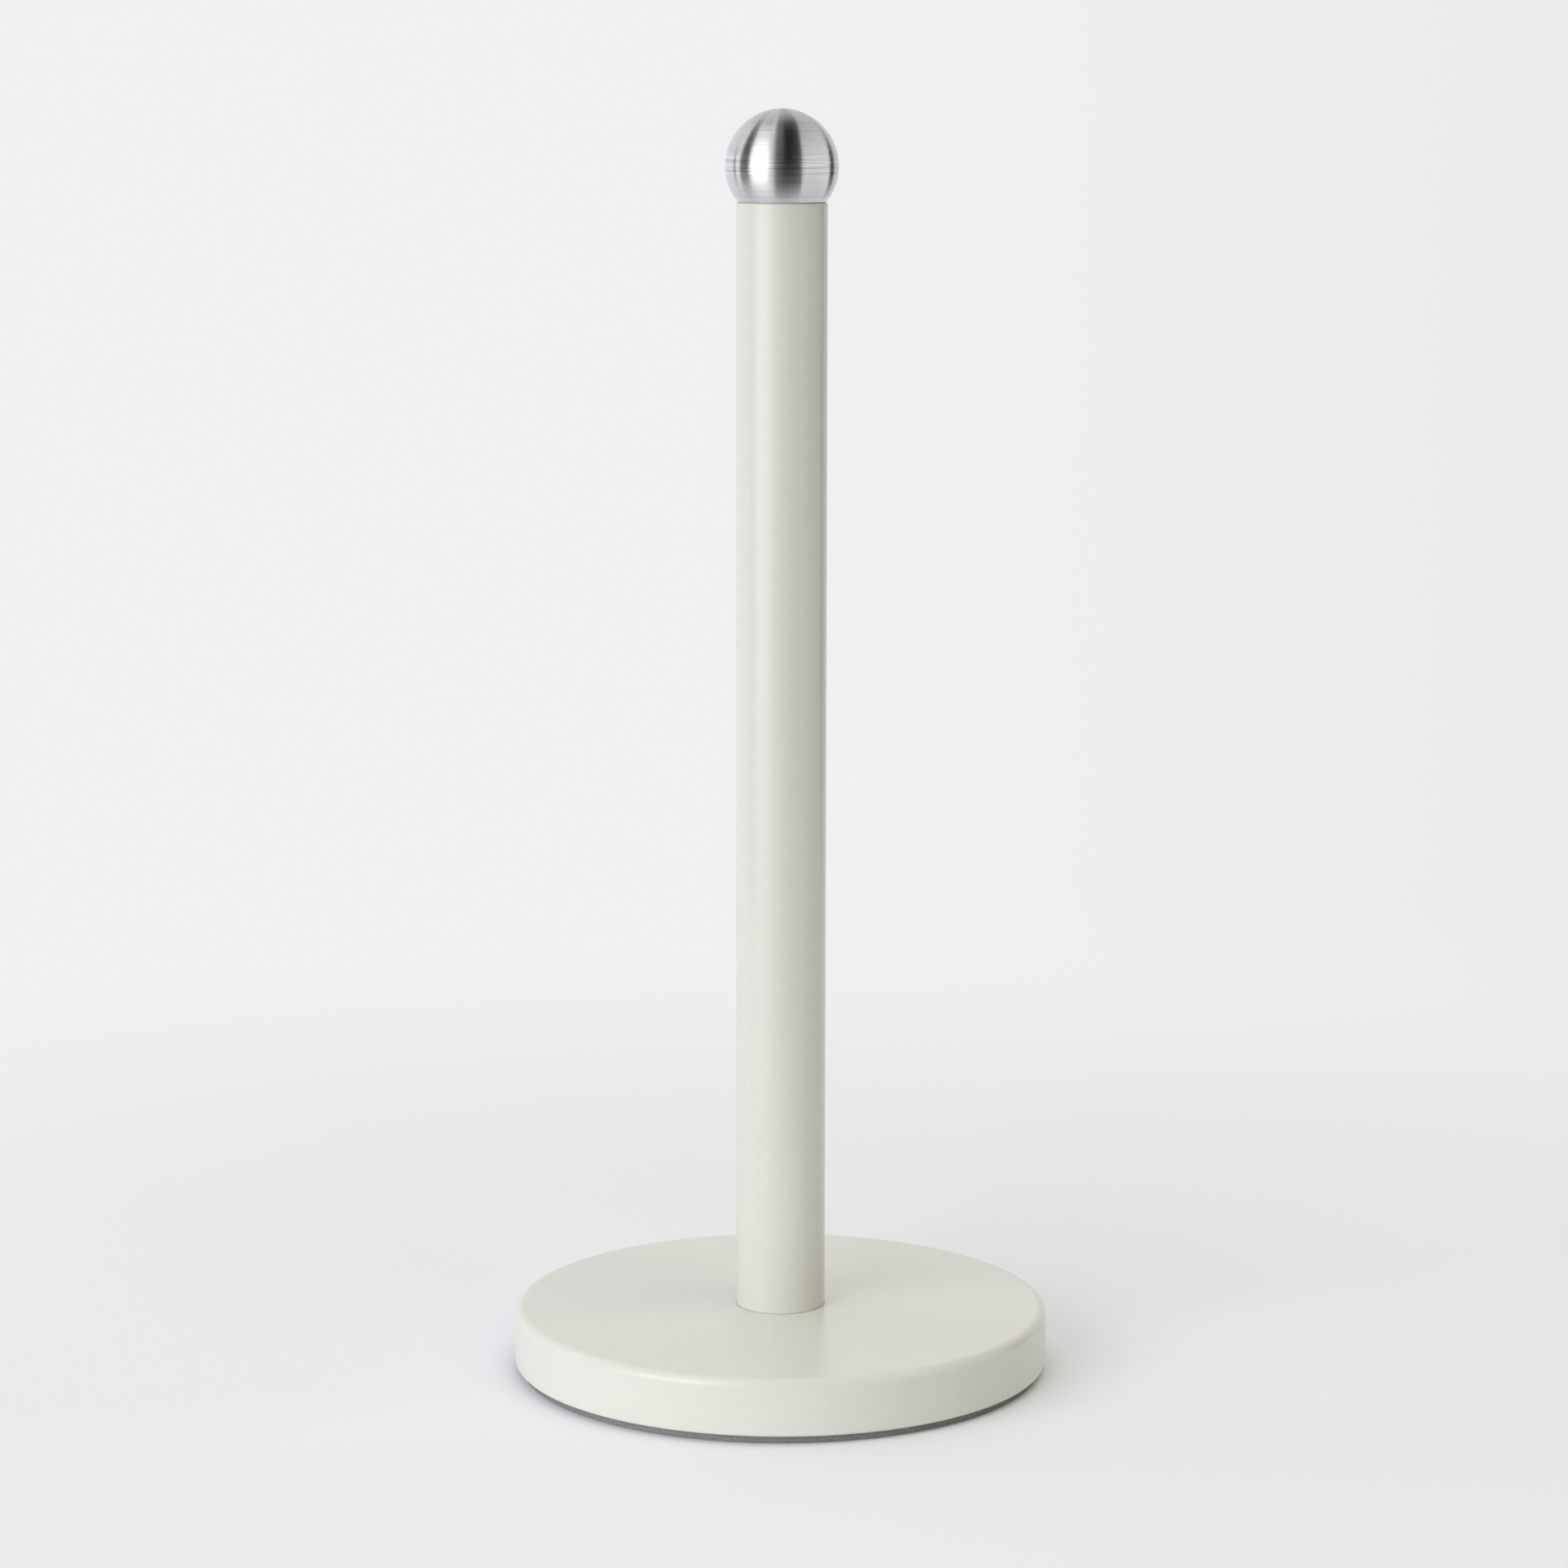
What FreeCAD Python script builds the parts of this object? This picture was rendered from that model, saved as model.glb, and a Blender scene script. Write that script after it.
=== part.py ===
import FreeCAD, Part
import math
import os

# Free-standing paper towel holder: a weighted round base, an upright tube and a steel ball on top.
# Millimetres, +Z up. The origin is on the floor, on the axis of the post.

# --- base ---
BASE_RADIUS = 75.0
BASE_TOP_Z = 18.0
SHELL_WALL = 1.2
SHELL_RIM_Z = 2.2
SHELL_TOP_EDGE_RADIUS = 2.5
SHELL_RIM_EDGE_RADIUS = 0.8
SHELL_RIM_INNER_EDGE_RADIUS = 0.3
SEAT_DEPTH = 0.3  # the post stands in a shallow round seat coined into the shell
SEAT_CLEARANCE = 0.1

PAD_THICKNESS = 3.0
PAD_RADIUS = 73.6
PAD_HOLE_RADIUS = 14.0

BALLAST_RADIUS = 73.2
BALLAST_HUB_RADIUS = 20.0
BALLAST_RIM_WIDTH = 9.0
BALLAST_TOP_BEVEL = 2.0  # clears the shell's inner corner
BALLAST_BOTTOM_BEVEL = 0.5
BALLAST_POCKET_DEPTH = 4.8
BALLAST_POCKET_EDGE_RADIUS = 1.5
COUNTERBORE_RADIUS = 10.0
COUNTERBORE_TOP_Z = 11.0

# --- post ---
POST_RADIUS = 12.5
POST_WALL = 1.0
POST_LENGTH = 308.5
POST_EDGE_RADIUS = 0.3
POST_BORE_BEVEL = 0.2
BOTTOM_PLUG_STAND_OUT = 0.15  # the bottom plug carries the post, just proud of the tube
TOP_PLUG_RECESS = 0.1
PLUG_LENGTH = 20.0
PLUG_BEVEL = 0.5

# --- finial ---
BALL_RADIUS = 15.5
BALL_FLAT_RADIUS = 12.15
BALL_FLAT_EDGE_RADIUS = 0.15
BALL_HOLE_SPARE_DEPTH = 1.5
DRILL_TIP_ANGLE = 31.0  # between the drill's cutting edge and a flat bottom, in degrees
FINIAL_WASHER_THICKNESS = 0.25
FINIAL_WASHER_RADIUS = 11.9
STUD_LENGTH = 25.0
STUD_DEPTH_IN_BALL = 12.0
STUD_SOCKET_ACROSS_FLATS = 4.0
STUD_SOCKET_DEPTH = 5.0

# --- M8 coarse thread ---
THREAD_PITCH = 1.25
THREAD_CREST_RADIUS = 3.98
THREAD_ROOT_RADIUS = 3.24
FLANK_ANGLE = 30.0  # each flank's slope, in degrees
TAPPED_BORE_RADIUS = 4.05  # tapped holes are plain bores that clear the crests
TAPPED_BORE_BEVEL = 0.6
CLEARANCE_HOLE_RADIUS = 4.5

# --- bolt and washers under the post ---
BOLT_LENGTH = 25.0
BOLT_HEAD_ACROSS_FLATS = 13.0
BOLT_HEAD_HEIGHT = 5.3
BOLT_HEAD_BEVEL = 0.8
FLAT_WASHER_THICKNESS = 1.6
FLAT_WASHER_RADIUS = 8.0
FLAT_WASHER_HOLE_RADIUS = 4.2
SPRING_WASHER_THICKNESS = 2.0
SPRING_WASHER_RADIUS = 7.4
SPRING_WASHER_HOLE_RADIUS = 4.1
SPRING_WASHER_SLIT = 0.7
SPRING_WASHER_SLANT = 25.0  # the slit's lean from upright, in degrees

# --- heights that follow from them ---
SHELL_CEILING_Z = BASE_TOP_Z - SHELL_WALL
SEAT_Z = BASE_TOP_Z - SEAT_DEPTH
POST_FOOT_Z = SEAT_Z + BOTTOM_PLUG_STAND_OUT
POST_TOP_Z = POST_FOOT_Z + POST_LENGTH
TOP_PLUG_Z = POST_TOP_Z - TOP_PLUG_RECESS - PLUG_LENGTH
BALL_FLAT_Z = POST_TOP_Z + FINIAL_WASHER_THICKNESS
BALL_CENTRE_Z = BALL_FLAT_Z + math.sqrt(BALL_RADIUS**2 - BALL_FLAT_RADIUS**2)
FLAT_WASHER_Z = COUNTERBORE_TOP_Z - FLAT_WASHER_THICKNESS
SPRING_WASHER_Z = FLAT_WASHER_Z - SPRING_WASHER_THICKNESS
BOLT_HEAD_Z = SPRING_WASHER_Z - BOLT_HEAD_HEIGHT

UP = FreeCAD.Vector(0, 0, 1)
ORIGIN = FreeCAD.Vector(0, 0, 0)
X_AXIS = FreeCAD.Vector(1, 0, 0)


def cylinder(radius, low_z, high_z):
    return Part.makeCylinder(radius, high_z - low_z, UP * low_z, UP)


def ring(outer_radius, inner_radius, low_z, high_z):
    return cylinder(outer_radius, low_z, high_z).cut(cylinder(inner_radius, low_z, high_z))


def cone(low_radius, high_radius, low_z, high_z):
    return Part.makeCone(low_radius, high_radius, high_z - low_z, UP * low_z, UP)


def polygon(points):
    corners = [FreeCAD.Vector(*point) for point in points]
    return Part.makePolygon(corners + corners[:1])


def hexagon_prism(across_flats, low_z, high_z):
    corner_radius = across_flats / math.sqrt(3)
    angles = [i * math.pi / 3 for i in range(6)]
    outline = polygon([(corner_radius * math.cos(a), corner_radius * math.sin(a), low_z) for a in angles])
    return Part.Face(outline).extrude(UP * (high_z - low_z))


def circular_edges(shape, radius, height):
    """The shape's horizontal edges of this radius at this height."""
    found = []
    for edge in shape.Edges:
        if edge.Degenerated or not isinstance(edge.Curve, Part.Circle):
            continue
        if abs(edge.Curve.Radius - radius) < 1e-4 and abs(edge.Curve.Center.z - height) < 1e-4:
            found.append(edge)
    return found


def round_edge(shape, radius, height, size):
    return shape.makeFillet(size, circular_edges(shape, radius, height))


def bevel_edge(shape, radius, height, size):
    return shape.makeChamfer(size, circular_edges(shape, radius, height))


def threaded_rod(low_z, high_z):
    """A rod with a right-hand M8 thread along its whole length that fades out at both ends."""
    length = high_z - low_z
    sunk = 0.1  # the ridge reaches this far into the core
    foot_radius = THREAD_ROOT_RADIUS - sunk
    crest_half_width = THREAD_PITCH / 16
    flank_run = (THREAD_CREST_RADIUS - foot_radius) * math.tan(math.radians(FLANK_ANGLE))
    foot_half_width = crest_half_width + flank_run
    ridge_section = polygon([
        (foot_radius, 0, -foot_half_width),
        (THREAD_CREST_RADIUS, 0, -crest_half_width),
        (THREAD_CREST_RADIUS, 0, crest_half_width),
        (foot_radius, 0, foot_half_width),
    ])
    helix = Part.makeHelix(THREAD_PITCH, length + 2 * THREAD_PITCH, THREAD_CREST_RADIUS)
    ridge = Part.Wire(helix.Edges).makePipeShell([ridge_section], True, True)
    ridge.translate(-UP * THREAD_PITCH)

    envelope_radius = THREAD_CREST_RADIUS + sunk
    envelope = cylinder(envelope_radius, 0, length)
    for end_z in (0, length):
        envelope = bevel_edge(envelope, envelope_radius, end_z, envelope_radius - THREAD_ROOT_RADIUS)
    rod = cylinder(THREAD_ROOT_RADIUS, 0, length).fuse(ridge.common(envelope))
    rod.translate(UP * low_z)
    return rod


def make_base_shell():
    """Pressed steel cup, open side down, with a seat for the post and a hole for the bolt."""
    cup = cylinder(BASE_RADIUS, SHELL_RIM_Z, BASE_TOP_Z)
    cup = round_edge(cup, BASE_RADIUS, BASE_TOP_Z, SHELL_TOP_EDGE_RADIUS)
    cup = round_edge(cup, BASE_RADIUS, SHELL_RIM_Z, SHELL_RIM_EDGE_RADIUS)
    inner_radius = BASE_RADIUS - SHELL_WALL
    cavity = cylinder(inner_radius, SHELL_RIM_Z, SHELL_CEILING_Z)
    cavity = round_edge(cavity, inner_radius, SHELL_CEILING_Z, SHELL_TOP_EDGE_RADIUS - SHELL_WALL)
    seat = cylinder(POST_RADIUS + SEAT_CLEARANCE, SEAT_Z, BASE_TOP_Z)
    bolt_hole = cylinder(CLEARANCE_HOLE_RADIUS, SHELL_CEILING_Z, SEAT_Z)
    shell = cup.cut(cavity).cut(seat).cut(bolt_hole)
    return round_edge(shell, inner_radius, SHELL_RIM_Z, SHELL_RIM_INNER_EDGE_RADIUS)


def make_ballast_disc():
    """Cast weight: a disc with a ring-shaped pocket on top and a counterbore for the bolt's head."""
    disc = cylinder(BALLAST_RADIUS, PAD_THICKNESS, SHELL_CEILING_Z)
    disc = bevel_edge(disc, BALLAST_RADIUS, SHELL_CEILING_Z, BALLAST_TOP_BEVEL)
    disc = bevel_edge(disc, BALLAST_RADIUS, PAD_THICKNESS, BALLAST_BOTTOM_BEVEL)
    pocket_radius = BALLAST_RADIUS - BALLAST_RIM_WIDTH
    pocket_floor_z = SHELL_CEILING_Z - BALLAST_POCKET_DEPTH
    pocket = ring(pocket_radius, BALLAST_HUB_RADIUS, pocket_floor_z, SHELL_CEILING_Z)
    for wall_radius in (pocket_radius, BALLAST_HUB_RADIUS):
        pocket = round_edge(pocket, wall_radius, pocket_floor_z, BALLAST_POCKET_EDGE_RADIUS)
    counterbore = cylinder(COUNTERBORE_RADIUS, PAD_THICKNESS, COUNTERBORE_TOP_Z)
    bolt_hole = cylinder(CLEARANCE_HOLE_RADIUS, COUNTERBORE_TOP_Z, SHELL_CEILING_Z)
    return disc.cut(pocket).cut(counterbore).cut(bolt_hole)


def make_anti_slip_pad():
    """Foam rubber disc under the weight, with a hole that lets a socket wrench reach the bolt."""
    return ring(PAD_RADIUS, PAD_HOLE_RADIUS, 0, PAD_THICKNESS)


def make_post_tube():
    bore_radius = POST_RADIUS - POST_WALL
    tube = ring(POST_RADIUS, bore_radius, POST_FOOT_Z, POST_TOP_Z)
    for end_z in (POST_FOOT_Z, POST_TOP_Z):
        tube = round_edge(tube, POST_RADIUS, end_z, POST_EDGE_RADIUS)
        tube = bevel_edge(tube, bore_radius, end_z, POST_BORE_BEVEL)
    return tube


def make_plug(low_z):
    """Turned steel plug, pressed into an end of the tube and tapped right through."""
    high_z = low_z + PLUG_LENGTH
    plug_radius = POST_RADIUS - POST_WALL
    plug = ring(plug_radius, TAPPED_BORE_RADIUS, low_z, high_z)
    for end_z in (low_z, high_z):
        plug = bevel_edge(plug, plug_radius, end_z, PLUG_BEVEL)
        plug = bevel_edge(plug, TAPPED_BORE_RADIUS, end_z, TAPPED_BORE_BEVEL)
    return plug


def make_base_bolt():
    """M8 hexagon bolt, head down."""
    head_top_z = BOLT_HEAD_Z + BOLT_HEAD_HEIGHT
    corner_radius = BOLT_HEAD_ACROSS_FLATS / math.sqrt(3)
    turned_blank = cylinder(corner_radius, BOLT_HEAD_Z, head_top_z)
    turned_blank = bevel_edge(turned_blank, corner_radius, BOLT_HEAD_Z, BOLT_HEAD_BEVEL)
    head = hexagon_prism(BOLT_HEAD_ACROSS_FLATS, BOLT_HEAD_Z, head_top_z).common(turned_blank)
    return head.fuse(threaded_rod(head_top_z, head_top_z + BOLT_LENGTH))


def make_base_flat_washer():
    return ring(FLAT_WASHER_RADIUS, FLAT_WASHER_HOLE_RADIUS, FLAT_WASHER_Z, COUNTERBORE_TOP_Z)


def make_base_spring_washer():
    """Split washer, squeezed flat, with a slanting slit through one side."""
    washer = ring(SPRING_WASHER_RADIUS, SPRING_WASHER_HOLE_RADIUS, SPRING_WASHER_Z, FLAT_WASHER_Z)
    slit_height = 3 * SPRING_WASHER_THICKNESS
    slit_corner = FreeCAD.Vector(0, -SPRING_WASHER_SLIT / 2, -slit_height / 2)
    slit = Part.makeBox(SPRING_WASHER_RADIUS, SPRING_WASHER_SLIT, slit_height, slit_corner)
    slit.rotate(ORIGIN, X_AXIS, SPRING_WASHER_SLANT)
    slit.translate(UP * (SPRING_WASHER_Z + SPRING_WASHER_THICKNESS / 2))
    return washer.cut(slit)


def make_finial_washer():
    return ring(FINIAL_WASHER_RADIUS, CLEARANCE_HOLE_RADIUS, POST_TOP_Z, BALL_FLAT_Z)


def make_finial_ball():
    """Steel ball, turned flat underneath, with a blind hole for the stud."""
    ball = Part.makeSphere(BALL_RADIUS, UP * BALL_CENTRE_Z)
    ball = ball.common(cylinder(BALL_RADIUS, BALL_FLAT_Z, BALL_CENTRE_Z + BALL_RADIUS))
    ball = round_edge(ball, BALL_FLAT_RADIUS, BALL_FLAT_Z, BALL_FLAT_EDGE_RADIUS)
    hole_end_z = BALL_FLAT_Z + STUD_DEPTH_IN_BALL + BALL_HOLE_SPARE_DEPTH
    drill_tip_z = hole_end_z + TAPPED_BORE_RADIUS * math.tan(math.radians(DRILL_TIP_ANGLE))
    hole = cylinder(TAPPED_BORE_RADIUS, BALL_FLAT_Z, hole_end_z)
    hole = hole.fuse(cone(TAPPED_BORE_RADIUS, 0, hole_end_z, drill_tip_z))
    mouth_radius = TAPPED_BORE_RADIUS + TAPPED_BORE_BEVEL
    mouth = cone(mouth_radius, TAPPED_BORE_RADIUS, BALL_FLAT_Z, BALL_FLAT_Z + TAPPED_BORE_BEVEL)
    return ball.cut(hole).cut(mouth)


def make_finial_stud():
    """M8 set screw with a hexagon socket in its lower end."""
    high_z = BALL_FLAT_Z + STUD_DEPTH_IN_BALL
    low_z = high_z - STUD_LENGTH
    return threaded_rod(low_z, high_z).cut(
        hexagon_prism(STUD_SOCKET_ACROSS_FLATS, low_z, low_z + STUD_SOCKET_DEPTH)
    )


NODES = {
    "base_shell": make_base_shell(),
    "ballast_disc": make_ballast_disc(),
    "anti_slip_pad": make_anti_slip_pad(),
    "post_tube": make_post_tube(),
    "post_bottom_plug": make_plug(SEAT_Z),
    "base_bolt": make_base_bolt(),
    "base_flat_washer": make_base_flat_washer(),
    "base_spring_washer": make_base_spring_washer(),
    "post_top_plug": make_plug(TOP_PLUG_Z),
    "finial_washer": make_finial_washer(),
    "finial_ball": make_finial_ball(),
    "finial_stud": make_finial_stud(),
}

os.makedirs("parts", exist_ok=True)
for node, shape in NODES.items():
    (solid,) = shape.Solids
    solid.exportStep("parts/" + node + ".step")
    print(node, "valid" if solid.isValid() else "BROKEN", round(solid.Volume, 1), "mm3")
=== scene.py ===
import math

import bmesh
import bpy
from mathutils import Matrix, Vector, noise


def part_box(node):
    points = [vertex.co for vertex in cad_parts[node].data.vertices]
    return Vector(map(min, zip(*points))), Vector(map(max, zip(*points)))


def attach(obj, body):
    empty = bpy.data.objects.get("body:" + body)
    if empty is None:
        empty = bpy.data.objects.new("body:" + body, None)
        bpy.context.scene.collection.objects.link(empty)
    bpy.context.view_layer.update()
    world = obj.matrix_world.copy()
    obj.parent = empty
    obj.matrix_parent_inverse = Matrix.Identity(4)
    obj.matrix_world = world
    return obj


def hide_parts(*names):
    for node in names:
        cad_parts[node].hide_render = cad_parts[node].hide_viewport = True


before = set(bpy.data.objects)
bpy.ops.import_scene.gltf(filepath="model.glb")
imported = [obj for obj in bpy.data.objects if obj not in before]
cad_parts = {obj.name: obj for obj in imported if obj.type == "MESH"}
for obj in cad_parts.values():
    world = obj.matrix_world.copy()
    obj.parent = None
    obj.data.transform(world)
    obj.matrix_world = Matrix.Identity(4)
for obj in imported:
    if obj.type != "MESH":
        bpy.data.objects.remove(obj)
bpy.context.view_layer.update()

scene = bpy.context.scene

MM = 0.001


def grey(value):
    return value, value, value


# --- camera ---
CAMERA_PLACE = (0.0, -1.181, 0.3592)
CAMERA_DOWN = math.radians(9.269)
CAMERA_YAW = -0.00067
CAMERA_ROLL = 0.0015
CAMERA_LENS_MM = 99.0
CAMERA_SENSOR_MM = 36.0

# --- studio: azimuths in degrees, 0 is the camera's side (-Y) and plus is towards +X ---
BACKDROP_COLOUR = (0.863, 0.871, 0.887)
BACKDROP_SHADE = 0.05  # how much darker the backdrop is towards +X
BACKDROP_SHADE_END = 0.2  # the direction's x from which it is that dark

FLOOR_RADIUS = 0.8
FLOOR_SEGMENTS = 96
FLOOR_FADE = (0.12, 0.6)  # the floor turns into the backdrop between these radii
FLOOR_SHADE_END = 0.38  # as BACKDROP_SHADE_END, in metres
FLOOR_ALBEDO = (0.89, 0.897, 0.92)
FLOOR_GRAIN_SCALE = 900.0
FLOOR_GRAIN_TONE = 0.985
FLOOR_FRONT_SHADE = 0.93  # the paper's tone towards the softbox, where it gets more light
FLOOR_FRONT_REACH = (0.06, 0.32)  # from the post towards the softbox, in metres

# The paper ends just in front of the view. Matt surfaces get the dim fill from there, and
# mirroring ones see the room's lower half on a sheet just over the floor.
TABLE_END_Y = -0.24
TABLE_END_Z = 2 * MM
TABLE_END_PARTS = 24
BELOW_TABLE_RADIUS = 1.0
BELOW_TABLE_FILL = grey(0.2)

ROOM_RADIUS = 1.7
ROOM_CENTRE = (0.0, 0.0, 0.33)
ROOM_STEP = 3
ROOM_AZIMUTHS = (-108, 126)
ROOM_LOW = -33
ROOM_POLE = 89.9  # just short of 90, so that the top ring keeps its corners apart
ROOM_CEILING = 66
ROOM_GAP = (-0.27, 0.45)  # the dark gap overhead, as a share of the radius along X

# The dim light that matt surfaces get from all round, by azimuth.
ROOM_FILL_RISES = (0.0, 30.0)  # the fill changes from low to high between these
ROOM_FILL_LOW = (
    (-108, grey(0.20)),
    (-22, grey(0.25)),
    (-18, grey(0.24)),
    (37, grey(0.15)),
    (41, (0.10, 0.10, 0.09)),
)
ROOM_FILL_HIGH = (
    (-108, (0.46, 0.46, 0.47)),
    (-22, (0.52, 0.52, 0.53)),
    (-18, grey(0.60)),
    (37, grey(0.58)),
    (41, (1.06, 0.99, 0.81)),
    (109, (1.06, 0.99, 0.81)),
    (111, grey(0.1)),
)

# What the steel mirrors, by swing and tilt: twice the azimuth and twice the elevation of the
# surface that mirrors it towards the front.
MIRRORED_SPAN = 135
MIRRORED = (
    (-110, (0.96, 0.97, 1.0)),
    (-106, (1.06, 1.06, 0.99)),
    (-98.5, (1.06, 1.06, 0.99)),
    (-96.5, (0.12, 0.12, 0.125)),
    (-74, (0.12, 0.12, 0.125)),
    (-71.5, grey(0.8)),
    (-25.2, grey(1.0)),
    (-20.2, grey(0.85)),
    (-14, grey(0.21)),
    (-9, grey(0.13)),
    (-3, grey(0.10)),
    (2, (0.06, 0.059, 0.058)),
    (9, (0.025, 0.024, 0.023)),
    (22, (0.036, 0.035, 0.034)),
    (32, (0.08, 0.078, 0.076)),
    (39.7, (0.12, 0.118, 0.115)),
    (43.2, (0.90, 0.90, 0.86)),
    (70, (0.97, 0.97, 0.935)),
    (110, (1.03, 1.03, 1.01)),
    (132, (0.82, 0.83, 0.85)),
)
# The backdrop takes the room's place between these tilts, and between these swings either side.
MIRRORED_SKY = (99.0, 122.0)
MIRRORED_SIDES = (131.0, 135.0)
# That backdrop is brighter far to the left and darker far to the right, by the direction's x.
FAR_REACH = (0.2, 0.7)
FAR_LEFT_GAIN = 1.12
FAR_RIGHT_GAIN = 0.88

LEFT_LEAN = 0.0023  # the left half closes towards the middle by this share per degree of tilt
RIGHT_LEAN = 0.16  # and the right half opens by this share near the top
RIGHT_LEAN_TILTS = (50.0, 104.0)
HIGH_ROOM_DIMMER = -0.36  # how the middle and the right change from the ball's height to overhead
HIGH_ROOM_TILTS = (12.0, 84.0)
HIGH_ROOM_SWINGS = (-30.0, 0.0)
HIGH_HAZE = grey(0.72)  # the left side loses its contrast overhead
HIGH_HAZE_TILTS = (72.0, 104.0)
HIGH_HAZE_SWINGS = (-70.0, -60.0)
LOW_GLOW = (0.075, 0.066, 0.06)  # light off the floor, in the lower half
LOW_GLOW_TILTS = (-64.0, -40.0, -30.0, -8.0)
HIGH_GLOW = (0.10, 0.10, 0.097)  # a faint streak left of the dark middle
HIGH_GLOW_SWINGS = (-16, -12, 2, 7)
HIGH_GLOW_TILTS = (20.0, 45.0)
# Two narrow dark things at the sides, only as tall as the ball's middle mirrors.
RIGHT_LINE = dict(swings=(112, 114, 129.5, 131.5), tilts=(26.0, 66.0), shade=grey(0.03))
LEFT_LINE = dict(swings=(-116, -114, -109, -107), tilts=(14.0, 34.0), shade=grey(0.22))

# The softbox in that picture: where it starts and ends, and its brightness by tilt.
PANEL_SWINGS = (-76, -57, -36.3, -24.3)
PANEL_RADIANCE = (2.8, 2.8, 2.76)
PANEL_BY_TILT = (
    (-90, grey(0.38)),
    (-50, grey(0.41)),
    (-26, grey(0.43)),
    (-12, grey(1.0)),
    (22, grey(1.0)),
    (42, grey(0.46)),
    (70, grey(0.33)),
    (104, grey(0.10)),
)

# The lamps, for matt surfaces only: angles in degrees, lengths in metres.
SOFTBOX = dict(azimuth=-42.0, distance=1.3, low=0.0, high=0.99, width=1.24)
SOFTBOX_GLOW = dict(radiance=3.57, tint=(0.985, 0.995, 1.03))
TOP_LIGHT = dict(azimuth=74.0, rise=72.0, distance=1.35, size=0.9, aim_z=0.2)
TOP_LIGHT_GLOW = dict(radiance=1.05, tint=(0.99, 1.0, 1.01))

# --- finishes ---
NOISE_RANGE = (0.3, 0.7)  # nearly all of a noise's values lie between these
PATCH_RANGE = (0.35, 0.7)

COAT_TONES = ((0.688, 0.690, 0.627), (0.724, 0.725, 0.661))
COAT_CLOUD_SHARE = 0.35  # of the tone; the fine mottle makes up the rest
COAT_MOTTLE_SHARE = 0.65
COAT_PEEL_RANGE = (0.2, 0.8)
COAT_ROUGHNESS = (0.225, 0.262)
COAT_PEEL = 0.004 * MM

# Heights on the ball are from its centre.
BALL_TONES = ((0.575, 0.577, 0.582), (0.665, 0.667, 0.672))
BALL_ROUGHNESS = (0.235, 0.265)
BALL_GROOVE = 0.03 * MM
BALL_GRAIN = 0.002 * MM
BALL_GRAIN_SCALE = 3200.0
BALL_AXIS = 0.01 * MM  # no place counts as nearer to the axis than this
# Rings around the axis: how often they break up, how many there are to a metre, and a seed.
FEED_LINES = dict(breaks=0.6, per_metre=3000.0, seed=0.0)
FINE_LINES = dict(breaks=9.0, per_metre=4800.0, seed=40.0)
RING_PATCHES = dict(breaks=2.5, per_metre=500.0, seed=90.0)
FEED_LINE_RANGE = (0.36, 0.6)
FEED_LINE_CONTRAST = 0.42
FEED_LINE_RELIEF = 0.5
FINE_LINE_RELIEF = 0.6
RELIEF_FADE = (0.3 * MM, 3.0 * MM)  # the rings fade in between these distances from the axis
FINE_LINE_TONE = 0.55
RING_PATCH_TONE = 0.25
GRAIN_TONE = 0.4
GRAIN_TONE_BASE = 0.25  # the grain that leaves the tone as it is
BELT_Z = 0.65 * MM  # the belt of deeper feed lines
BELT_HALF_WIDTHS = (2.3 * MM, 2.8 * MM)
BELT_OUTSIDE = 0.2  # how strong the feed lines are away from it
COLLAR_PAINTED_REFLECTION_TONE = (0.645, 0.655, 0.685)  # painted reflection: a brighter, bluer tone that stands in for the floor mirrored by the end next to the post, which is also smoother
COLLAR_TOP_Z = -8.05 * MM
COLLAR_FULL_Z = -8.75 * MM
COLLAR_RELIEF = 0.3
COLLAR_SMOOTHER = 0.05
POLE_ROUGHER = 0.015
POLE_FADE = (1.0 * MM, 6.0 * MM)

# --- pad ---
PAD_STEPS_AROUND = 960
PAD_EDGE = 0.3 * MM  # the radius of its two outer edges, and the bevel of its inner ones
PAD_EDGE_PARTS = 4
PAD_WALL_PARTS = 8
PAD_INSET = 0.45 * MM  # how far its wall is inside the solid that it stands for
PAD_HOLE_RADIUS = 14.0 * MM
PAD_CELLS_PER_METRE = 1100.0
PAD_CELL_DEPTH_MM = 0.05
PAD_WAVES_PER_METRE = 90.0
PAD_WAVE_DEPTH_MM = 0.10


# ---------------------------------------------------------------- node helper


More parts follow.
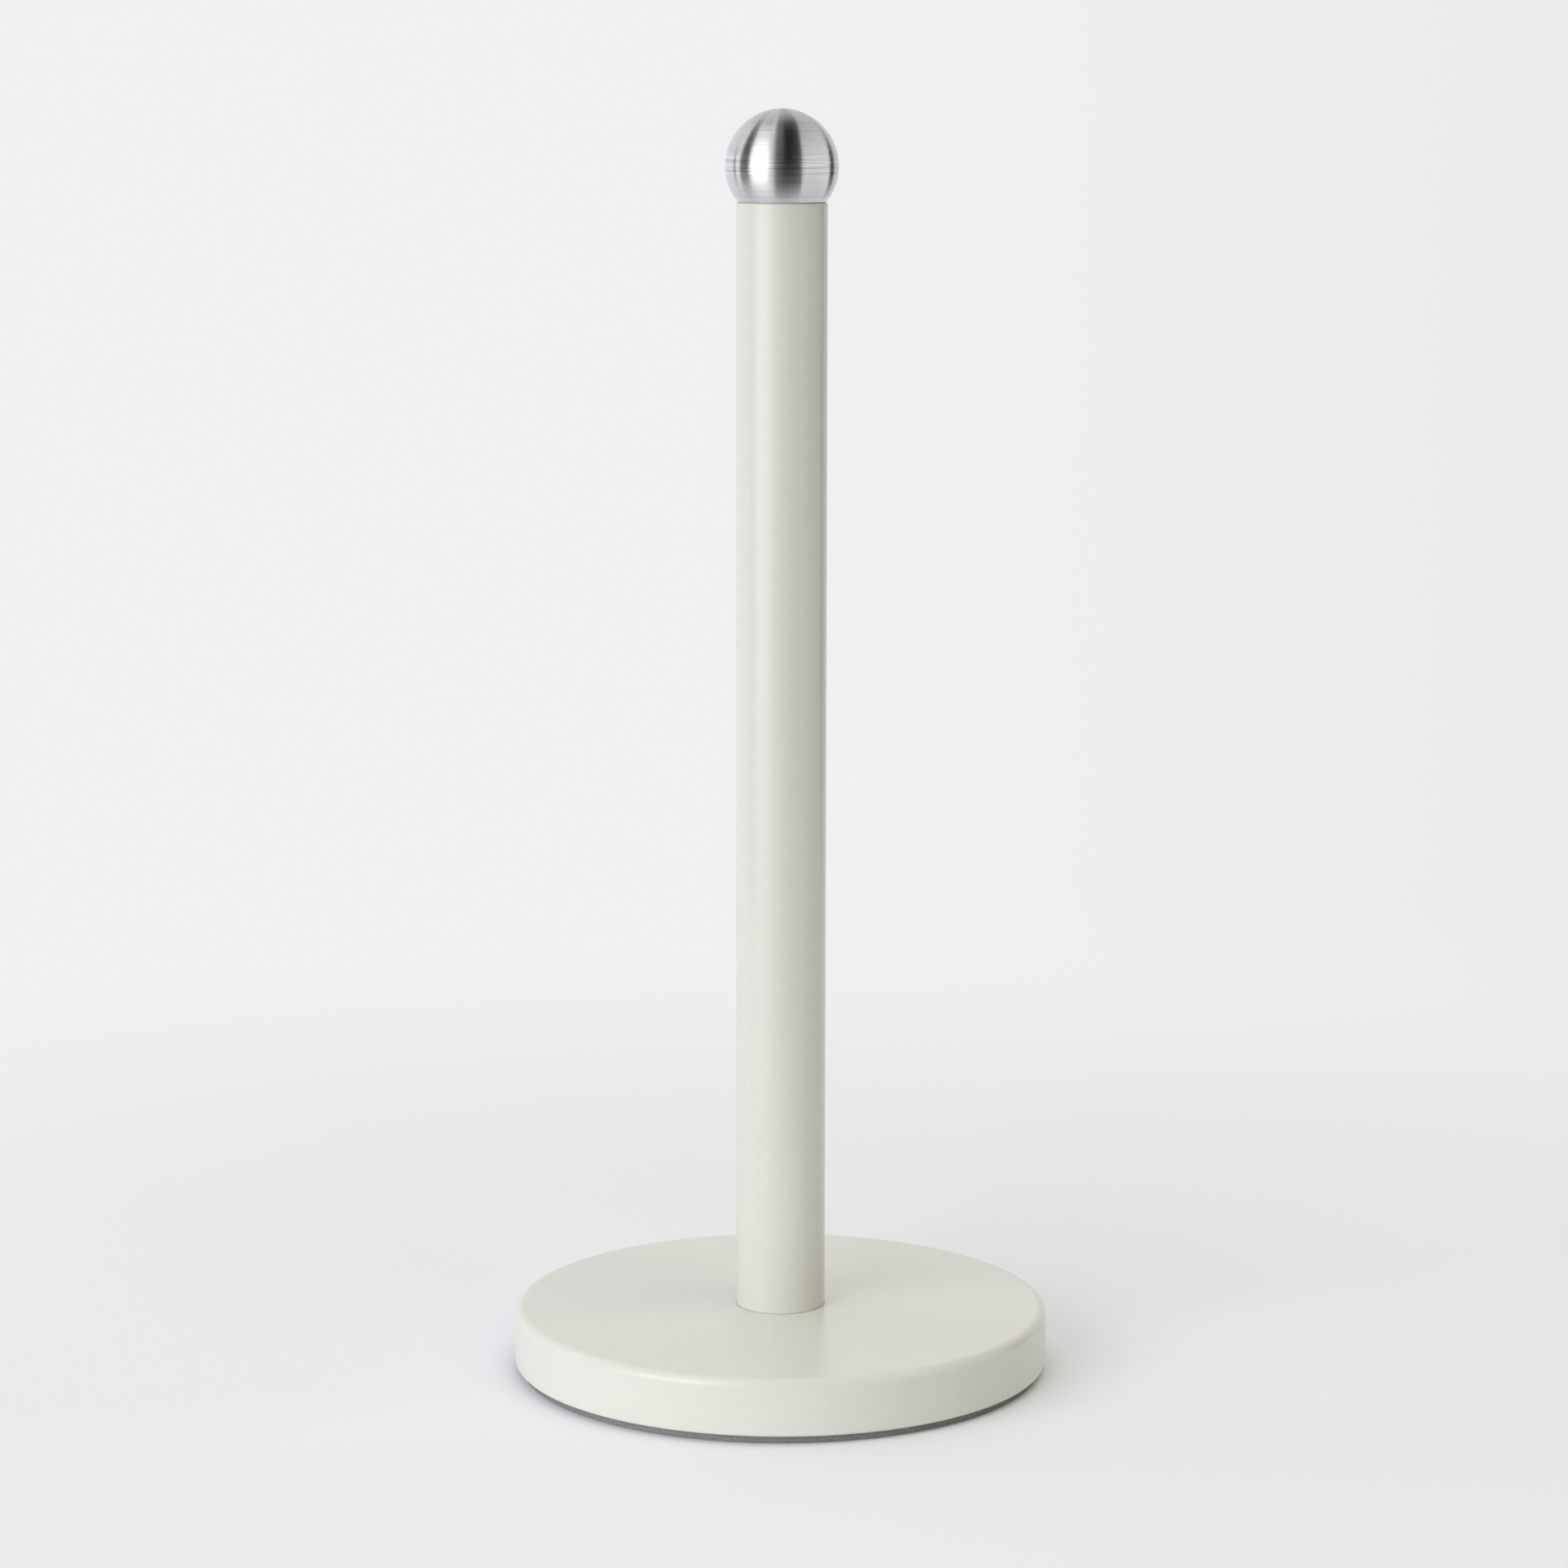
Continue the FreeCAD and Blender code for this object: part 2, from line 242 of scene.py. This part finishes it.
class Shader:
    """A material's or world's node tree, with short calls for the nodes used here."""

    def __init__(self, owner):
        owner.use_nodes = True
        self.owner = owner
        self.tree = owner.node_tree
        self.tree.nodes.clear()

    def node(self, kind, inputs=None, **settings):
        node = self.tree.nodes.new("ShaderNode" + kind)
        for name, value in settings.items():
            setattr(node, name, value)
        for name, value in (inputs or {}).items():
            self.feed(node.inputs[name], value)
        return node

    def feed(self, socket, value):
        if isinstance(value, bpy.types.NodeSocket):
            self.tree.links.new(value, socket)
        elif isinstance(value, tuple) and len(value) == 3 and len(socket.default_value) == 4:
            socket.default_value = (*value, 1.0)
        else:
            socket.default_value = value

    def math(self, operation, *values):
        return self.node("Math", dict(enumerate(values)), operation=operation).outputs[0]

    def plus(self, first, second):
        return self.math("ADD", first, second)

    def minus(self, first, second):
        return self.math("SUBTRACT", first, second)

    def times(self, first, second):
        return self.math("MULTIPLY", first, second)

    def one_plus(self, value, share):
        """1 + value * share."""
        return self.math("MULTIPLY_ADD", value, share, 1.0)

    def vector(self, operation, *values):
        return self.node("VectorMath", dict(enumerate(values)), operation=operation).outputs[0]

    def scaled(self, colour, factor):
        return self.node("VectorMath", {0: colour, "Scale": factor}, operation="SCALE").outputs[0]

    def length2(self, x, y):
        """The length of (x, y)."""
        return self.math("SQRT", self.plus(self.times(x, x), self.times(y, y)))

    def split(self, vector):
        node = self.node("SeparateXYZ", {0: vector})
        return node.outputs[0], node.outputs[1], node.outputs[2]

    def join(self, x, y, z):
        return self.node("CombineXYZ", {0: x, 1: y, 2: z}).outputs[0]

    def remap(self, value, low, high, to_low=0.0, to_high=1.0, smooth=False):
        kind = "SMOOTHSTEP" if smooth else "LINEAR"
        bounds = {"From Min": low, "From Max": high, "To Min": to_low, "To Max": to_high}
        inputs = {"Value": value, **bounds}
        return self.node("MapRange", inputs, interpolation_type=kind, clamp=True).outputs[0]

    def plateau(self, value, start, full, last, end):
        """0 up to start, 1 from full to last, and 0 again from end."""
        rising = self.remap(value, start, full, smooth=True)
        return self.times(rising, self.remap(value, last, end, 1.0, 0.0, smooth=True))

    def bearings(self, direction):
        """The direction's azimuth and rise, in degrees."""
        x, y, z = self.split(direction)
        azimuth = self.math("ARCTAN2", x, self.times(y, -1.0))
        rise = self.math("ARCTAN2", z, self.length2(x, y))
        return self.times(azimuth, 180 / math.pi), self.times(rise, 180 / math.pi)

    def noise(self, vector, scale, detail=3.0, roughness=0.6):
        inputs = {"Vector": vector, "Scale": scale, "Detail": detail, "Roughness": roughness}
        return self.node("TexNoise", inputs).outputs["Fac"]

    def cells(self, vector, scale):
        return self.node("TexVoronoi", {"Vector": vector, "Scale": scale}).outputs["Distance"]

    def ramp(self, value, stops):
        node = self.node("ValToRGB", {0: value})
        elements = node.color_ramp.elements
        while len(elements) < len(stops):
            elements.new(1.0)
        for element, (position, colour) in zip(elements, stops):
            element.position = position
            element.color = (*colour, 1.0)
        return node.outputs["Color"]

    def mix(self, factor, low, high):
        node = self.node("Mix", data_type="RGBA")
        for name, value in (("Factor_Float", factor), ("A_Color", low), ("B_Color", high)):
            socket = next(s for s in node.inputs if s.identifier == name)
            self.feed(socket, value)
        return next(s for s in node.outputs if s.identifier == "Result_Color")

    def bump(self, height, distance, strength=1.0, normal=None):
        inputs = {"Height": height, "Distance": distance, "Strength": strength}
        if normal is not None:
            inputs["Normal"] = normal
        return self.node("Bump", inputs).outputs[0]

    def place(self):
        """The point's place in the frame, in metres, as every object sits at the origin."""
        return self.node("TexCoord").outputs["Object"]

    def seen(self):
        """1 for rays from the camera, or off metal or through glass; 0 for the rest."""
        path = self.node("LightPath")
        shown = self.math("MAXIMUM", path.outputs["Is Camera Ray"], path.outputs["Is Glossy Ray"])
        return self.math("MAXIMUM", shown, path.outputs["Is Transmission Ray"])

    def surface(self, shader):
        world = isinstance(self.owner, bpy.types.World)
        output = self.node("OutputWorld" if world else "OutputMaterial")
        self.tree.links.new(shader, output.inputs["Surface"])

    def principled(self, **inputs):
        """Gives the material a Principled surface. Underscores in the names stand for spaces."""
        values = {name.replace("_", " "): value for name, value in inputs.items()}
        self.surface(self.node("BsdfPrincipled", values).outputs[0])
        return self.owner

    def glowing(self, colour):
        """Gives the material a glow, which isn't sampled as a lamp."""
        self.surface(self.node("Emission", {"Color": colour}).outputs[0])
        self.owner.cycles.emission_sampling = "NONE"
        return self.owner


def new_shader(name):
    return Shader(bpy.data.materials.new(name))


# ---------------------------------------------------------------- camera


def make_camera():
    data = bpy.data.cameras.new("camera")
    data.lens = CAMERA_LENS_MM
    data.sensor_width = CAMERA_SENSOR_MM
    camera = bpy.data.objects.new("camera", data)
    turn = Matrix.Rotation(CAMERA_YAW, 4, "Z") @ Matrix.Rotation(math.pi / 2 - CAMERA_DOWN, 4, "X")
    roll = Matrix.Rotation(CAMERA_ROLL, 4, "Z")
    camera.matrix_world = Matrix.Translation(CAMERA_PLACE) @ turn @ roll
    scene.collection.objects.link(camera)
    scene.camera = camera


# ---------------------------------------------------------------- studio


def direction(azimuth, rise):
    """The unit vector at an azimuth and a rise in degrees."""
    azimuth, rise = math.radians(azimuth), math.radians(rise)
    level = math.cos(rise)
    return Vector((math.sin(azimuth) * level, -math.cos(azimuth) * level, math.sin(rise)))


def shaded_backdrop(shader, x, shade_end):
    """The backdrop's colour, a little darker towards +X."""
    shade = shader.remap(x, 0.0, shade_end, 1.0, 1.0 - BACKDROP_SHADE, smooth=True)
    return shader.scaled(BACKDROP_COLOUR, shade)


def make_world():
    """The backdrop. Steel and gloss mirror the dome mirrored_room instead and don't see it."""
    world = bpy.data.worlds.new("studio")
    scene.world = world
    shader = Shader(world)
    x, _, _ = shader.split(shader.node("TexCoord").outputs["Generated"])
    colour = shaded_backdrop(shader, x, BACKDROP_SHADE_END)
    shader.surface(shader.node("Background", {"Color": colour, "Strength": 1.0}).outputs[0])
    world.cycles_visibility.glossy = False


def link_mesh(name, bm, material):
    mesh = bpy.data.meshes.new(name)
    bm.to_mesh(mesh)
    bm.free()
    piece = bpy.data.objects.new(name, mesh)
    scene.collection.objects.link(piece)
    mesh.materials.append(material)
    return piece


def floor_material():
    """White paper that keeps the shadows and turns into the backdrop further out.

    It ends just in front of the view, so what bounces off it there is dim.
    """
    shader = new_shader("floor_paper")
    place = shader.place()
    x, y, _ = shader.split(place)
    grain = shader.remap(shader.noise(place, FLOOR_GRAIN_SCALE, roughness=0.5), *NOISE_RANGE)
    paper = shader.mix(grain, tuple(c * FLOOR_GRAIN_TONE for c in FLOOR_ALBEDO), FLOOR_ALBEDO)
    nearness = shader.times(shader.plus(x, y), -math.sqrt(0.5))
    front = shader.remap(nearness, *FLOOR_FRONT_REACH, 1.0, FLOOR_FRONT_SHADE, smooth=True)
    near = shader.node("BsdfDiffuse", {"Color": shader.scaled(paper, front)}).outputs[0]
    backdrop = shaded_backdrop(shader, x, FLOOR_SHADE_END)
    far = shader.node("Emission", {"Color": backdrop}).outputs[0]
    seen = shader.seen()
    radius = shader.length2(x, y)
    fade = shader.times(shader.remap(radius, *FLOOR_FADE, smooth=True), seen)
    paper = shader.node("MixShader", {0: fade, 1: near, 2: far}).outputs[0]
    past_end = shader.math("LESS_THAN", y, TABLE_END_Y)
    bounced = shader.times(past_end, shader.minus(1.0, seen))
    end = shader.node("Emission", {"Color": BELOW_TABLE_FILL}).outputs[0]
    shader.surface(shader.node("MixShader", {0: bounced, 1: paper, 2: end}).outputs[0])
    shader.owner.cycles.emission_sampling = "NONE"
    return shader.owner


def make_floor():
    bm = bmesh.new()
    bmesh.ops.create_circle(bm, cap_ends=True, segments=FLOOR_SEGMENTS, radius=FLOOR_RADIUS)
    link_mesh("floor", bm, floor_material())


def stops_over(span, stops):
    """Colour stops given in degrees, as a ramp from minus to plus the span takes them."""
    return [((angle + span) / (2 * span), colour) for angle, colour in stops]


def fill_material():
    """The dim light that the room's walls and panels throw on matt surfaces, beside the lamps."""
    shader = new_shader("studio_fill")
    azimuth, rise = shader.bearings(shader.vector("SUBTRACT", shader.place(), ROOM_CENTRE))
    around = shader.remap(azimuth, -180.0, 180.0)
    low = shader.ramp(around, stops_over(180, ROOM_FILL_LOW))
    high = shader.ramp(around, stops_over(180, ROOM_FILL_HIGH))
    return shader.glowing(shader.mix(shader.remap(rise, *ROOM_FILL_RISES, smooth=True), low, high))


def surroundings(shader, x):
    """What is mirrored beside and behind the room."""
    near, far = FAR_REACH
    colour = shaded_backdrop(shader, x, BACKDROP_SHADE_END)
    colour = shader.scaled(colour, shader.remap(x, -near, -far, 1.0, FAR_LEFT_GAIN, smooth=True))
    return shader.scaled(colour, shader.remap(x, near, far, 1.0, FAR_RIGHT_GAIN, smooth=True))


def mirrored_material():
    """What steel and gloss mirror: a dark room between pale panels, with the backdrop behind.

    Swing and tilt are twice the azimuth and the rise of the direction half-way between the place
    and the front, so each band runs where a ball turned on a lathe shows it: straight from its top
    to its bottom.
    """
    shader = new_shader("mirrored_room")
    towards = shader.vector("SUBTRACT", shader.place(), ROOM_CENTRE)
    towards = shader.vector("NORMALIZE", towards)
    azimuth, rise = shader.bearings(shader.vector("ADD", towards, (0.0, -1.0, 0.0)))
    swing, tilt = shader.times(azimuth, 2.0), shader.times(rise, 2.0)
    height = shader.math("ABSOLUTE", tilt)

    left = shader.math("MINIMUM", swing, 0.0)
    left = shader.times(left, shader.one_plus(height, LEFT_LEAN))
    right = shader.math("MAXIMUM", swing, 0.0)
    right = shader.times(right, shader.remap(tilt, *RIGHT_LEAN_TILTS, 1.0, 1.0 - RIGHT_LEAN))
    turn = shader.plus(left, right)

    around = shader.remap(turn, -MIRRORED_SPAN, MIRRORED_SPAN)
    room = shader.ramp(around, stops_over(MIRRORED_SPAN, MIRRORED))
    hazy_side = shader.remap(turn, *HIGH_HAZE_SWINGS, 1.0, 0.0)
    haze = shader.times(shader.remap(tilt, *HIGH_HAZE_TILTS), hazy_side)
    room = shader.mix(haze, room, HIGH_HAZE)
    high_side = shader.remap(swing, *HIGH_ROOM_SWINGS)
    high = shader.times(shader.remap(tilt, *HIGH_ROOM_TILTS), high_side)
    room = shader.scaled(room, shader.one_plus(high, HIGH_ROOM_DIMMER))
    low_glow = shader.plateau(tilt, *LOW_GLOW_TILTS)
    room = shader.vector("ADD", room, shader.scaled(LOW_GLOW, low_glow))
    streak = shader.plateau(swing, *HIGH_GLOW_SWINGS)
    high_glow = shader.times(streak, shader.remap(tilt, *HIGH_GLOW_TILTS))
    room = shader.vector("ADD", room, shader.scaled(HIGH_GLOW, high_glow))

    up = shader.remap(tilt, -MIRRORED_SPAN, MIRRORED_SPAN)
    panel = shader.ramp(up, stops_over(MIRRORED_SPAN, PANEL_BY_TILT))
    panel = shader.vector("MULTIPLY", panel, PANEL_RADIANCE)
    room = shader.mix(shader.plateau(turn, *PANEL_SWINGS), room, panel)
    for line in (RIGHT_LINE, LEFT_LINE):
        across = shader.plateau(swing, *line["swings"])
        dark = shader.times(across, shader.remap(height, *line["tilts"], 1.0, 0.0))
        room = shader.mix(dark, room, line["shade"])

    behind = shader.remap(tilt, *MIRRORED_SKY, smooth=True)
    beside = shader.remap(shader.math("ABSOLUTE", swing), *MIRRORED_SIDES)
    backdrop = surroundings(shader, shader.split(towards)[0])
    return shader.glowing(shader.mix(shader.math("MAXIMUM", behind, beside), room, backdrop))


def stage_light(piece, mirrored):
    """A glowing sheet for mirroring surfaces or for matt ones. The camera doesn't see it."""
    piece.visible_camera = False
    piece.visible_transmission = False
    piece.visible_diffuse = not mirrored
    piece.visible_glossy = mirrored
    piece.visible_shadow = not mirrored


def dome(name, wanted, material):
    """The faces of a sphere that are wanted, by azimuth, height and x as a share of its radius."""
    bm = bmesh.new()
    azimuths = list(range(-180, 181, ROOM_STEP))
    heights = list(range(ROOM_LOW, 91, ROOM_STEP))
    grid = {}
    for azimuth in azimuths:
        for height in heights:
            out = direction(azimuth, min(height, ROOM_POLE))
            grid[azimuth, height] = bm.verts.new(out * ROOM_RADIUS + Vector(ROOM_CENTRE))
    for azimuth, after in zip(azimuths, azimuths[1:]):
        for height, above in zip(heights, heights[1:]):
            places = ((azimuth, height), (after, height), (after, above), (azimuth, above))
            corners = [grid[place] for place in places]
            across = sum(corner.co.x for corner in corners) / 4 / ROOM_RADIUS
            if wanted(azimuth, height, across):
                bm.faces.new(corners)
    bmesh.ops.delete(bm, geom=[v for v in bm.verts if not v.link_faces], context="VERTS")
    return link_mesh(name, bm, material)


def in_fill(azimuth, height, across):
    """The room in front, and the ceiling's dark gap."""
    in_front = ROOM_AZIMUTHS[0] <= azimuth < ROOM_AZIMUTHS[1]
    overhead = height >= ROOM_CEILING and ROOM_GAP[0] < across < ROOM_GAP[1]
    return in_front or overhead


def everywhere(azimuth, height, across):
    """The whole sphere down to ROOM_LOW."""
    return True


def table_end(name, material):
    """Covers what lies in front of the paper's end, for reflections."""
    bm = bmesh.new()
    half = math.acos(-TABLE_END_Y / BELOW_TABLE_RADIUS)
    corners = []
    for part in range(TABLE_END_PARTS + 1):
        turn = half * (2 * part / TABLE_END_PARTS - 1)
        x, y = BELOW_TABLE_RADIUS * math.sin(turn), -BELOW_TABLE_RADIUS * math.cos(turn)
        corners.append(bm.verts.new((x, y, TABLE_END_Z)))
    bm.faces.new(corners)
    return link_mesh(name, bm, material)


def make_room():
    stage_light(dome("studio_fill", in_fill, fill_material()), mirrored=False)
    picture = mirrored_material()
    stage_light(dome("mirrored_room", everywhere, picture), mirrored=True)
    stage_light(table_end("mirrored_table_end", picture), mirrored=True)


def make_lamp(name, place, aim, width, height, radiance, tint):
    data = bpy.data.lights.new(name, "AREA")
    data.shape = "RECTANGLE"
    data.size = width
    data.size_y = height
    data.energy = radiance * math.pi * width * height
    data.color = tint
    lamp = bpy.data.objects.new(name, data)
    lamp.location = place
    lamp.rotation_euler = (aim - place).to_track_quat("-Z", "Y").to_euler()
    scene.collection.objects.link(lamp)
    lamp.visible_camera = False
    lamp.visible_glossy = False


def make_lamps():
    low, high = SOFTBOX["low"], SOFTBOX["high"]
    aim = Vector((0, 0, (low + high) / 2))
    place = aim + direction(SOFTBOX["azimuth"], 0.0) * SOFTBOX["distance"]
    make_lamp("softbox", place, aim, SOFTBOX["width"], high - low, **SOFTBOX_GLOW)

    aim = Vector((0, 0, TOP_LIGHT["aim_z"]))
    place = aim + direction(TOP_LIGHT["azimuth"], TOP_LIGHT["rise"]) * TOP_LIGHT["distance"]
    make_lamp("top_light", place, aim, TOP_LIGHT["size"], TOP_LIGHT["size"], **TOP_LIGHT_GLOW)


# ---------------------------------------------------------------- materials


def grained(shader, tone, tones, grain, roughness, normal, **more):
    """A surface coloured between two tones, with a roughness that follows its grain."""
    colour = shader.mix(tone, *tones)
    roughness = shader.remap(grain, *NOISE_RANGE, *roughness)
    return shader.principled(Base_Color=colour, Roughness=roughness, Normal=normal, **more)


def coated_steel():
    """Satin powder coat, warm grey-white, with the faint orange peel such a coat has."""
    shader = new_shader("coated_steel")
    place = shader.place()
    peel = shader.noise(place, 1500.0, detail=2.0, roughness=0.5)
    cloud = shader.times(shader.noise(place, 40.0), COAT_CLOUD_SHARE)
    mottle = shader.times(shader.noise(place, 1000.0, detail=2.0), COAT_MOTTLE_SHARE)
    tone = shader.remap(shader.plus(cloud, mottle), *NOISE_RANGE)
    return shader.principled(
        Base_Color=shader.mix(tone, *COAT_TONES),
        Roughness=shader.remap(peel, *COAT_PEEL_RANGE, *COAT_ROUGHNESS),
        Normal=shader.bump(peel, COAT_PEEL),
        IOR=1.5,
    )


def ball_steel():
    """Stainless steel turned on a lathe: rings around its axis smear reflections up and down."""
    low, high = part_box("finial_ball")
    radius = (high.x - low.x) / 2
    shader = new_shader("turned_stainless")
    offset = shader.vector("SUBTRACT", shader.place(), (0.0, 0.0, high.z - radius))
    x, y, z = shader.split(offset)
    out = shader.math("MAXIMUM", shader.length2(x, y), BALL_AXIS)
    along = shader.times(shader.math("ARCTAN2", out, z), radius)
    side_x, side_y = shader.math("DIVIDE", x, out), shader.math("DIVIDE", y, out)

    def rings(breaks, per_metre, seed):
        """Noise that varies quickly along the meridian, and breaks up that often around it."""
        across = shader.math("MULTIPLY_ADD", along, per_metre, seed)
        place = shader.join(shader.times(side_x, breaks), shader.times(side_y, breaks), across)
        return shader.noise(place, 1.0, detail=2.0)

    feed_lines = shader.remap(rings(**FEED_LINES), *FEED_LINE_RANGE)
    fine_lines = rings(**FINE_LINES)
    patches = rings(**RING_PATCHES)
    grain = shader.noise(shader.place(), BALL_GRAIN_SCALE, detail=2.0)
    off_belt = shader.math("ABSOLUTE", shader.minus(z, BELT_Z))
    belt = shader.remap(off_belt, *BELT_HALF_WIDTHS, 1.0, BELT_OUTSIDE, smooth=True)
    # the end next to the post: smoother, with fainter rings, and a tone with a painted reflection
    # of the floor
    collar = shader.remap(z, COLLAR_TOP_Z, COLLAR_FULL_Z, smooth=True)

    height = shader.times(shader.times(feed_lines, belt), FEED_LINE_RELIEF)
    height = shader.plus(height, shader.times(fine_lines, FINE_LINE_RELIEF))
    height = shader.times(height, shader.remap(out, *RELIEF_FADE, smooth=True))
    normal = shader.bump(height, BALL_GROOVE, shader.remap(collar, 0.0, 1.0, 1.0, COLLAR_RELIEF))
    normal = shader.bump(grain, BALL_GRAIN, 1.0, normal)

    tone = shader.times(fine_lines, FINE_LINE_TONE)
    tone = shader.plus(tone, shader.times(patches, RING_PATCH_TONE))
    tone = shader.plus(tone, shader.times(shader.minus(grain, GRAIN_TONE_BASE), GRAIN_TONE))
    colour = shader.mix(shader.remap(tone, *NOISE_RANGE), *BALL_TONES)
    streaks = shader.times(shader.minus(feed_lines, 0.5), belt)
    colour = shader.scaled(colour, shader.one_plus(streaks, FEED_LINE_CONTRAST))
    # painted reflection: the end next to the post takes a brighter, bluer tone for the floor it
    # mirrors
    colour = shader.mix(collar, colour, COLLAR_PAINTED_REFLECTION_TONE)

    roughness = shader.remap(feed_lines, 0.0, 1.0, *BALL_ROUGHNESS)
    pole = shader.remap(out, *POLE_FADE, POLE_ROUGHER, 0.0, smooth=True)
    roughness = shader.plus(roughness, pole)
    roughness = shader.minus(roughness, shader.times(collar, COLLAR_SMOOTHER))
    tangent = shader.node("Tangent", direction_type="RADIAL", axis="Z").outputs[0]
    return shader.principled(
        Base_Color=colour, Metallic=1.0, Roughness=roughness, Normal=normal,
        Anisotropic=1.0, Anisotropic_Rotation=0.25, Tangent=tangent,
    )


def foam_rubber():
    """Dark grey cellular rubber with fine pale cells."""
    shader = new_shader("foam_rubber")
    place = shader.place()
    cells = shader.cells(place, 3200.0)
    clumps = shader.noise(place, 1400.0)
    tone = shader.plus(shader.times(cells, 0.5), shader.times(clumps, 0.6))
    tone = shader.remap(tone, 0.35, 0.75)
    tones = (0.155, 0.155, 0.152), (0.30, 0.30, 0.29)
    normal = shader.bump(cells, 0.08 * MM)
    return grained(shader, tone, tones, clumps, (0.65, 0.85), normal)


def cast_iron():
    """Sand-cast iron with a thin black dip."""
    shader = new_shader("cast_iron")
    place = shader.place()
    sand = shader.noise(place, 900.0, detail=4.0, roughness=0.65)
    patches = shader.remap(shader.noise(place, 120.0), *PATCH_RANGE)
    tones = (0.045, 0.045, 0.047), (0.085, 0.08, 0.076)
    normal = shader.bump(sand, 0.25 * MM)
    return grained(shader, patches, tones, sand, (0.5, 0.75), normal, Metallic=0.6)


def turned_steel():
    """Plain turned steel with facing marks around the axis."""
    shader = new_shader("turned_steel")
    x, y, z = shader.split(shader.place())
    marks_per_metre = 7000.0
    out = shader.times(shader.length2(x, y), marks_per_metre)
    marks = shader.noise(shader.join(out, shader.times(z, marks_per_metre), 0.0), 1.0)
    oil = shader.remap(shader.noise(shader.place(), 200.0), *PATCH_RANGE)
    tones = (0.46, 0.455, 0.445), (0.54, 0.535, 0.525)
    normal = shader.bump(marks, 0.006 * MM)
    return grained(shader, oil, tones, marks, (0.28, 0.42), normal, Metallic=1.0)


def zinc_steel():
    """Bright zinc plate: a fine crystalline haze with a faint blue cast."""
    shader = new_shader("zinc_steel")
    place = shader.place()
    haze = shader.noise(place, 2600.0)
    patches = shader.remap(shader.noise(place, 350.0), *PATCH_RANGE)
    tones = (0.53, 0.54, 0.56), (0.64, 0.65, 0.66)
    normal = shader.bump(haze, 0.006 * MM)
    return grained(shader, patches, tones, haze, (0.28, 0.44), normal, Metallic=1.0)


def white_nylon():
    """Natural nylon, milky and slightly warm."""
    shader = new_shader("white_nylon")
    grain = shader.noise(shader.place(), 2200.0)
    tones = (0.53, 0.52, 0.47), (0.60, 0.59, 0.54)
    normal = shader.bump(grain, 0.012 * MM)
    return grained(shader, grain, tones, grain, (0.42, 0.6), normal)


def paint(material, *names):
    for name in names:
        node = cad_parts[name]
        node.data.materials.clear()
        node.data.materials.append(material)


# ---------------------------------------------------------------- pad


def pad_profile(outer, top):
    """The pad's cross-section as (radius, height, 1 where the wall wobbles or 0) points."""
    turns = [math.pi / 2 * part / PAD_EDGE_PARTS for part in range(PAD_EDGE_PARTS + 1)]
    edge = outer - PAD_EDGE
    inner = PAD_HOLE_RADIUS
    profile = []
    for turn in turns:
        z = PAD_EDGE - PAD_EDGE * math.cos(turn)
        profile.append((edge + PAD_EDGE * math.sin(turn), z, 1.0))
    for part in range(1, PAD_WALL_PARTS):
        profile.append((outer, PAD_EDGE + (top - 2 * PAD_EDGE) * part / PAD_WALL_PARTS, 1.0))
    for turn in turns:
        z = top - PAD_EDGE + PAD_EDGE * math.sin(turn)
        profile.append((edge + PAD_EDGE * math.cos(turn), z, 1.0))
    profile.append((inner + PAD_EDGE, top, 0.0))
    profile.append((inner, top - PAD_EDGE, 0.0))
    profile.append((inner, PAD_EDGE, 0.0))
    profile.append((inner + PAD_EDGE, 0.0, 0.0))
    return profile


def make_pad(material):
    """Die-cut foam ring: soft edges, a wall that bows and wobbles a little, and open cells."""
    _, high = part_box("anti_slip_pad")
    turns = [2 * math.pi * step / PAD_STEPS_AROUND for step in range(PAD_STEPS_AROUND)]
    bm = bmesh.new()
    rings = []
    for radius, z, rough in pad_profile(high.x - PAD_INSET, high.z):
        ring = []
        for turn in turns:
            place = Vector((math.cos(turn) * radius, math.sin(turn) * radius, z))
            cell = noise.noise(place * PAD_CELLS_PER_METRE) * PAD_CELL_DEPTH_MM
            wave = abs(noise.noise(place * PAD_WAVES_PER_METRE)) * PAD_WAVE_DEPTH_MM
            out = radius + rough * (cell - wave) * MM
            ring.append(bm.verts.new((math.cos(turn) * out, math.sin(turn) * out, z)))
        rings.append(ring)
    for ring, above in zip(rings, rings[1:] + rings[:1]):
        for step in range(PAD_STEPS_AROUND):
            after = (step + 1) % PAD_STEPS_AROUND
            bm.faces.new((ring[step], ring[after], above[after], above[step]))
    bmesh.ops.recalc_face_normals(bm, faces=bm.faces)
    for face in bm.faces:
        face.smooth = True
    pad = link_mesh("foam_pad", bm, material)
    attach(pad, "root")
    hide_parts("anti_slip_pad")


# ---------------------------------------------------------------- scene

make_camera()
scene.view_settings.view_transform = "Standard"
make_world()
make_floor()
make_room()
make_lamps()

paint(coated_steel(), "base_shell", "post_tube")
paint(ball_steel(), "finial_ball")
paint(cast_iron(), "ballast_disc")
paint(turned_steel(), "post_bottom_plug", "post_top_plug")
paint(zinc_steel(), "base_bolt", "base_flat_washer", "base_spring_washer", "finial_stud")
paint(white_nylon(), "finial_washer")
foam = foam_rubber()
paint(foam, "anti_slip_pad")
make_pad(foam)
